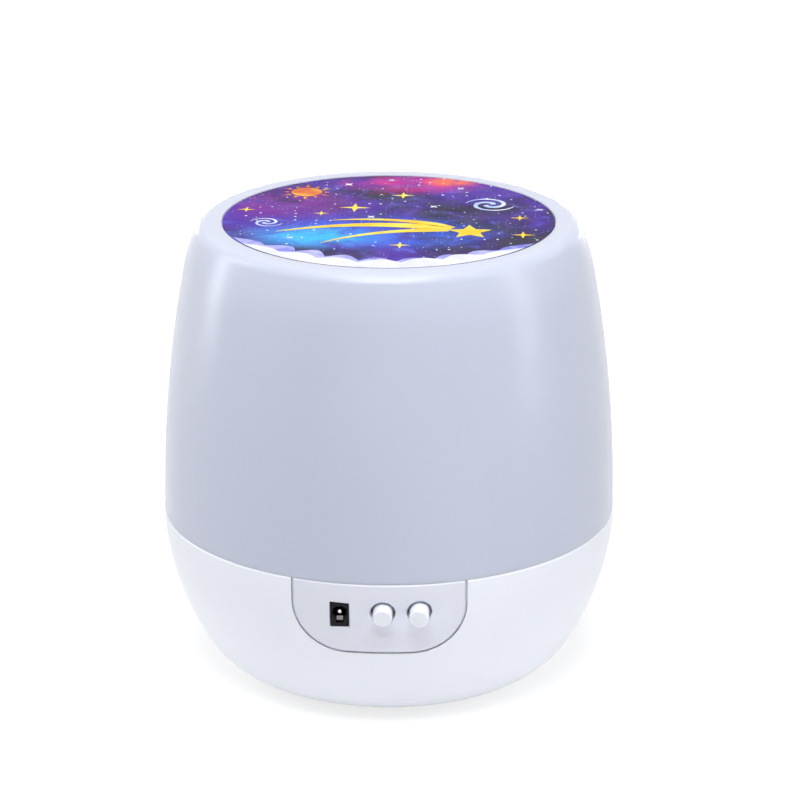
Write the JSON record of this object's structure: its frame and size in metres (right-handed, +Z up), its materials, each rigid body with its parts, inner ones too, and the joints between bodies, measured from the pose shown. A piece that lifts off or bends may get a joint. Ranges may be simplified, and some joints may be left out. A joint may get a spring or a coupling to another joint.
{
  "type": "star night light projector",
  "caption": "Round bedside star projector lamp: bowl base with two buttons and a power socket, lift-off frosted shade with a picture on top, motor-turned star dome inside.",
  "frame": {"origin": "under the middle of the lamp, on the surface that its feet stand on", "axes": "+Z up, -Y towards the controls at the front, +X to the right seen from the front"},
  "size_m": [0.127, 0.1291, 0.13],
  "materials": {
    "shell_plastic": "fine satin moulded plastic",
    "shade_plastic": "frosted translucent plastic",
    "button_plastic": "smooth white plastic",
    "picture_print": "satin printed film",
    "foot_rubber": "soft translucent grey rubber",
    "black_plastic": "black moulded plastic",
    "screw_steel": "zinc-plated steel",
    "contact_metal": "nickel-plated contact metal",
    "inner_plastic": "plain moulded plastic",
    "gear_plastic": "natural nylon",
    "gear_brass": "turned brass",
    "wire_pvc": "soft insulation of thin hook-up wire",
    "washer_plastic": "slippery thrust washer plastic",
    "board_laminate": "green solder mask",
    "led_board_white": "white solder mask on aluminium",
    "led_chip": "clear lens over a phosphor",
    "dome_clear": "clear polished plastic",
    "film_print": "printed transparent film"
  },
  "bodies": {
    "base": {"base_shell": "shell_plastic", "control_panel": "shell_plastic", "deck": "inner_plastic", "rubber_feet": "foot_rubber", "housing_screws": "screw_steel", "main_board": "board_laminate", "board_components": "black_plastic", "board_screws": "screw_steel", "push_switches": "black_plastic", "jack_housing": "black_plastic", "jack_pin": "contact_metal", "jack_spring": "contact_metal", "battery_plates": "contact_metal", "battery_springs": "contact_metal", "gear_plate": "inner_plastic", "gear_plate_screws": "screw_steel", "motor_can": "screw_steel", "motor_end_cap": "black_plastic", "motor_screws": "screw_steel", "idler_axle": "screw_steel", "shaft_bushing": "gear_brass", "thrust_washer": "washer_plastic", "led_holder": "inner_plastic", "led_holder_screws": "screw_steel", "led_board": "led_board_white", "led_emitters": "led_chip", "led_wires": "wire_pvc", "motor_wires": "wire_pvc", "battery_wires": "wire_pvc"},
    "shade": {"lampshade": "shade_plastic", "picture_disc": "picture_print"},
    "star_dome": {"turntable": "inner_plastic", "turntable_gear": "gear_plastic", "dome_cover": "dome_clear", "star_film": "film_print", "film_ring": "inner_plastic"},
    "drive_train": {"drive_shaft": "screw_steel", "drive_pinion": "gear_plastic", "output_gear": "gear_plastic"},
    "idler": {"idler_gear": "gear_plastic"},
    "motor_rotor": {"motor_shaft": "screw_steel", "motor_pinion": "gear_brass"},
    "light_button": {"light_button": "button_plastic"},
    "rotate_button": {"rotate_button": "button_plastic"},
    "battery_door": {"battery_door": "shell_plastic", "battery_door_screw": "screw_steel"}
  },
  "joints": [
    {"name": "shade_lift", "type": "slide", "parent": "base", "child": "shade", "axis": [0, 0, 1], "range_m": [0, 0.06]},
    {"name": "dome_spin", "type": "hinge", "parent": "base", "child": "star_dome", "pos_m": [0, 0, 0.04], "axis": [0, 0, 1], "continuous": true},
    {"name": "drive_shaft_spin", "type": "hinge", "parent": "base", "child": "drive_train", "pos_m": [0.0087, 0.03245, 0.04], "axis": [0, 0, 1], "continuous": true},
    {"name": "idler_spin", "type": "hinge", "parent": "base", "child": "idler", "pos_m": [-0.00287, 0.01867, 0.04], "axis": [0, 0, 1], "continuous": true},
    {"name": "motor_spin", "type": "hinge", "parent": "base", "child": "motor_rotor", "pos_m": [-0.0142, 0.03266, 0.04], "axis": [0, 0, 1], "continuous": true},
    {"name": "light_button_press", "type": "slide", "parent": "base", "child": "light_button", "axis": [0, 0.9877, 0.1564], "range_m": [0, 0.0012], "stiffness_N_per_m": 300, "springref_m": -0.002},
    {"name": "rotate_button_press", "type": "slide", "parent": "base", "child": "rotate_button", "axis": [0, 0.9877, 0.1564], "range_m": [0, 0.0012], "stiffness_N_per_m": 300, "springref_m": -0.002},
    {"name": "battery_door_swing", "type": "hinge", "parent": "base", "child": "battery_door", "pos_m": [0, 0.0267, 0.001], "axis": [1, 0, 0], "range_deg": [0, 95]}
  ],
  "couplings": [
    {"joint": "drive_shaft_spin", "follows": "dome_spin", "ratio": -6},
    {"joint": "idler_spin", "follows": "dome_spin", "ratio": 24},
    {"joint": "motor_spin", "follows": "dome_spin", "ratio": -96}
  ]
}
